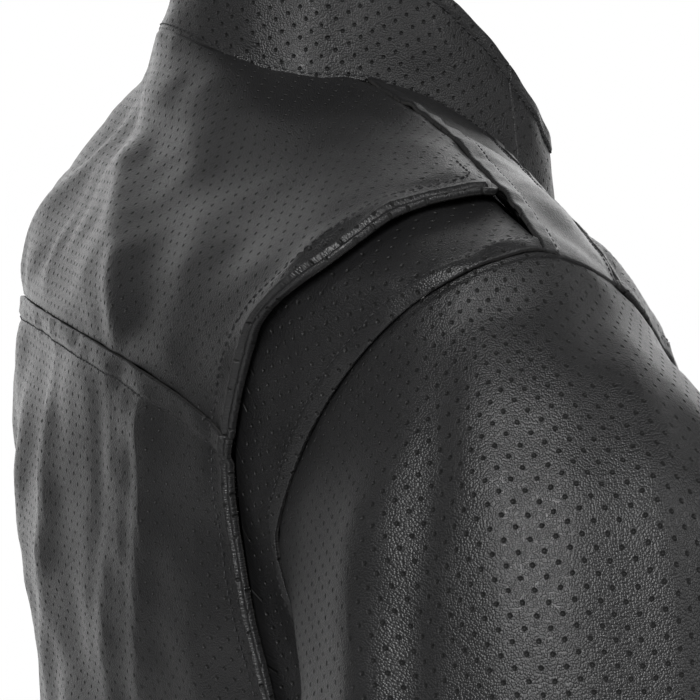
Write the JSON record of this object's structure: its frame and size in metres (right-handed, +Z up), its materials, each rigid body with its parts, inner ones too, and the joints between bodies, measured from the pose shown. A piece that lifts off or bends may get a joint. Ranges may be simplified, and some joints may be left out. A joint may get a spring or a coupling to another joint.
{
  "type": "leather riding jacket",
  "caption": "Perforated leather riding jacket with stand collar, action-back pleats, armour pockets and zips, standing open-fronted on its hem.",
  "frame": {"origin": "centre of the bounding box at the height of the hem, which stands on the floor", "axes": "+Z up from the hem to the collar, -Y out of the front, -X to the wearer's right arm"},
  "size_m": [0.7976, 0.3068, 0.7198],
  "materials": {
    "perforated_leather": "black drum-dyed leather, punched with round holes in a diagonal lattice, satin",
    "smooth_leather": "plain black leather, satin to gloss",
    "lining": "dark open mesh lining",
    "pad_foam": "dense dark grey protector foam",
    "zip_tape": "black woven zip tape",
    "zip_metal": "dark nickel plated zip teeth, sliders and pulls"
  },
  "bodies": {
    "torso": {"back_yoke": "perforated_leather", "back_panel": "perforated_leather", "collar_back": "perforated_leather", "back_lining": "lining", "back_protector": "pad_foam", "hanger_loop": "smooth_leather", "gusset_right": "perforated_leather", "side_panel_right": "perforated_leather", "shoulder_strip_right": "smooth_leather", "front_side_right": "perforated_leather", "side_lining_right": "lining", "pocket_zip_right": "smooth_leather", "sleeve_head_right": "perforated_leather", "gusset_left": "perforated_leather", "side_panel_left": "perforated_leather", "shoulder_strip_left": "smooth_leather", "front_side_left": "perforated_leather", "side_lining_left": "lining", "pocket_zip_left": "smooth_leather", "sleeve_head_left": "perforated_leather"},
    "front_right": {"front_panel_right": "perforated_leather", "front_lining_right": "lining", "zip_tape_right": "zip_tape", "zip_teeth_right": "zip_metal", "collar_front_right": "perforated_leather"},
    "sleeve_right": {"sleeve_top_right": "perforated_leather", "sleeve_under_right": "perforated_leather", "shoulder_pad_right": "pad_foam", "elbow_fold_right": "perforated_leather"},
    "forearm_right": {"forearm_top_right": "perforated_leather", "forearm_under_right": "perforated_leather", "elbow_pad_right": "pad_foam", "cuff_right": "smooth_leather", "cuff_zip_right": "smooth_leather"},
    "pocket_slider_right": {"slider_pocket_right": "zip_metal"},
    "pocket_pull_right": {"pull_pocket_right": "zip_metal"},
    "cuff_slider_right": {"slider_cuff_right": "zip_metal"},
    "cuff_pull_right": {"pull_cuff_right": "zip_metal"},
    "waist_tab_right": {"waist_tab_right": "smooth_leather"},
    "front_left": {"front_panel_left": "perforated_leather", "front_lining_left": "lining", "zip_tape_left": "zip_tape", "zip_teeth_left": "zip_metal", "collar_front_left": "perforated_leather"},
    "sleeve_left": {"sleeve_top_left": "perforated_leather", "sleeve_under_left": "perforated_leather", "shoulder_pad_left": "pad_foam", "elbow_fold_left": "perforated_leather"},
    "forearm_left": {"forearm_top_left": "perforated_leather", "forearm_under_left": "perforated_leather", "elbow_pad_left": "pad_foam", "cuff_left": "smooth_leather", "cuff_zip_left": "smooth_leather"},
    "pocket_slider_left": {"slider_pocket_left": "zip_metal"},
    "pocket_pull_left": {"pull_pocket_left": "zip_metal"},
    "cuff_slider_left": {"slider_cuff_left": "zip_metal"},
    "cuff_pull_left": {"pull_cuff_left": "zip_metal"},
    "waist_tab_left": {"waist_tab_left": "smooth_leather"},
    "main_slider": {"slider_main": "zip_metal"},
    "main_pull": {"pull_main": "zip_metal"}
  },
  "joints": [
    {"name": "front_right_fold", "type": "hinge", "parent": "torso", "child": "front_right", "pos_m": [-0.1, -0.08956, 0], "axis": [0, 0, -1], "range_deg": [0, 50]},
    {"name": "shoulder_right", "type": "hinge", "parent": "torso", "child": "sleeve_right", "pos_m": [-0.185, 0.02544, 0.56], "axis": [0, 1, 0], "range_deg": [0, 50], "deforming": ["sleeve_head_right"]},
    {"name": "elbow_right", "type": "hinge", "parent": "sleeve_right", "child": "forearm_right", "pos_m": [-0.30275, 0.01371, 0.28518], "axis": [-0.9339, -0.1529, 0.3233], "range_deg": [-20, 40], "deforming": ["elbow_fold_right"]},
    {"name": "pocket_zip_right", "type": "slide", "parent": "torso", "child": "pocket_slider_right", "axis": [-0.241, 0.1813, -0.9534], "range_m": [0, 0.098]},
    {"name": "pocket_pull_right_swing", "type": "hinge", "parent": "pocket_slider_right", "child": "pocket_pull_right", "pos_m": [-0.13502, -0.06732, 0.20182], "axis": [-0.7478, 0.5915, 0.3015], "range_deg": [0, 150]},
    {"name": "cuff_zip_right", "type": "slide", "parent": "forearm_right", "child": "cuff_slider_right", "axis": [0.2013, 0.5393, 0.8177], "range_m": [0, 0.072]},
    {"name": "cuff_pull_right_swing", "type": "hinge", "parent": "cuff_slider_right", "child": "cuff_pull_right", "pos_m": [-0.37252, -0.06718, 0.03273], "axis": [0.9543, 0.0803, -0.2879], "range_deg": [0, 150]},
    {"name": "waist_tab_right_lift", "type": "hinge", "parent": "torso", "child": "waist_tab_right", "pos_m": [-0.18841, 0.07928, 0.066], "axis": [0, 0, -1], "range_deg": [0, 110]},
    {"name": "front_left_fold", "type": "hinge", "parent": "torso", "child": "front_left", "pos_m": [0.1, -0.08956, 0], "axis": [0, 0, 1], "range_deg": [0, 50]},
    {"name": "shoulder_left", "type": "hinge", "parent": "torso", "child": "sleeve_left", "pos_m": [0.185, 0.02544, 0.56], "axis": [0, -1, 0], "range_deg": [0, 50], "deforming": ["sleeve_head_left"]},
    {"name": "elbow_left", "type": "hinge", "parent": "sleeve_left", "child": "forearm_left", "pos_m": [0.30275, 0.01371, 0.28518], "axis": [-0.9339, 0.1529, -0.3233], "range_deg": [-20, 40], "deforming": ["elbow_fold_left"]},
    {"name": "pocket_zip_left", "type": "slide", "parent": "torso", "child": "pocket_slider_left", "axis": [0.241, 0.1813, -0.9534], "range_m": [0, 0.098]},
    {"name": "pocket_pull_left_swing", "type": "hinge", "parent": "pocket_slider_left", "child": "pocket_pull_left", "pos_m": [0.13502, -0.06732, 0.20182], "axis": [-0.7478, -0.5915, -0.3015], "range_deg": [0, 150]},
    {"name": "cuff_zip_left", "type": "slide", "parent": "forearm_left", "child": "cuff_slider_left", "axis": [-0.2013, 0.5393, 0.8177], "range_m": [0, 0.072]},
    {"name": "cuff_pull_left_swing", "type": "hinge", "parent": "cuff_slider_left", "child": "cuff_pull_left", "pos_m": [0.37252, -0.06718, 0.03273], "axis": [0.9543, -0.0803, 0.2879], "range_deg": [0, 150]},
    {"name": "waist_tab_left_lift", "type": "hinge", "parent": "torso", "child": "waist_tab_left", "pos_m": [0.18841, 0.07928, 0.066], "axis": [0, 0, 1], "range_deg": [0, 110]},
    {"name": "main_zip", "type": "slide", "parent": "front_left", "child": "main_slider", "axis": [0, -0.0177, 0.9998], "range_m": [0, 0.3]},
    {"name": "main_pull_swing", "type": "hinge", "parent": "main_slider", "child": "main_pull", "pos_m": [0.0146, -0.10091, 0.06123], "axis": [-1, 0, 0], "range_deg": [0, 160]}
  ]
}
